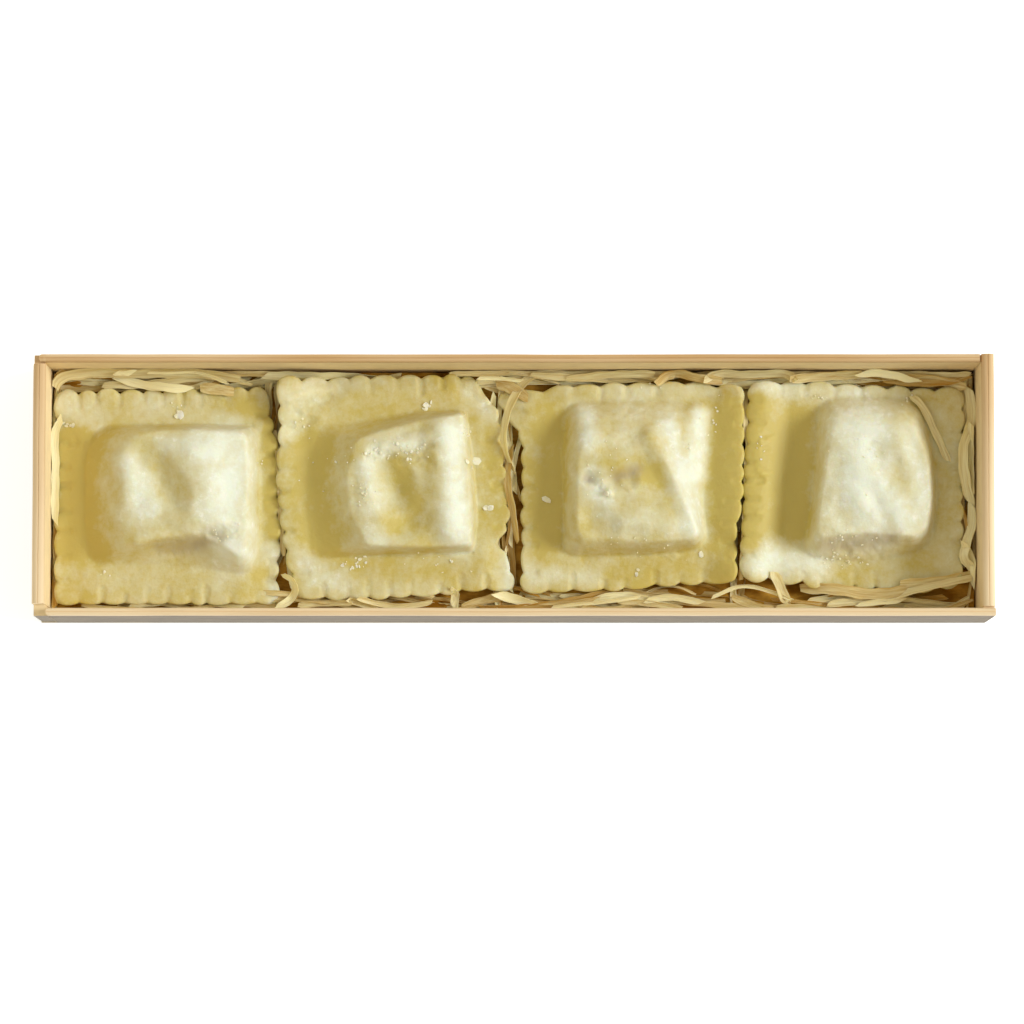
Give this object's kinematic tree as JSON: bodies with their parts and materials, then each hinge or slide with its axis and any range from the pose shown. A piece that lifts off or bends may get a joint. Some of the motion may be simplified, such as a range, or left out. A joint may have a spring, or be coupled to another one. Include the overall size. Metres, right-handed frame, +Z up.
{
  "type": "boxed ravioli",
  "caption": "Large square ravioli with scalloped edges on cut paper strips in a slim open board tray.",
  "frame": {"origin": "middle of the tray's underside", "axes": "+X along the tray, +Y to its back wall, +Z up"},
  "size_m": [0.264, 0.072, 0.032],
  "materials": {
    "board": "matt, streaked lengthwise",
    "paper_strip": "matt, fine grain",
    "dough": "matt, dusted with flour"
  },
  "bodies": {
    "root": {"tray": "board", "shred": "paper_strip", "ravioli_1": "dough", "ravioli_2": "dough", "ravioli_3": "dough", "ravioli_4": "dough"}
  },
  "joints": []
}
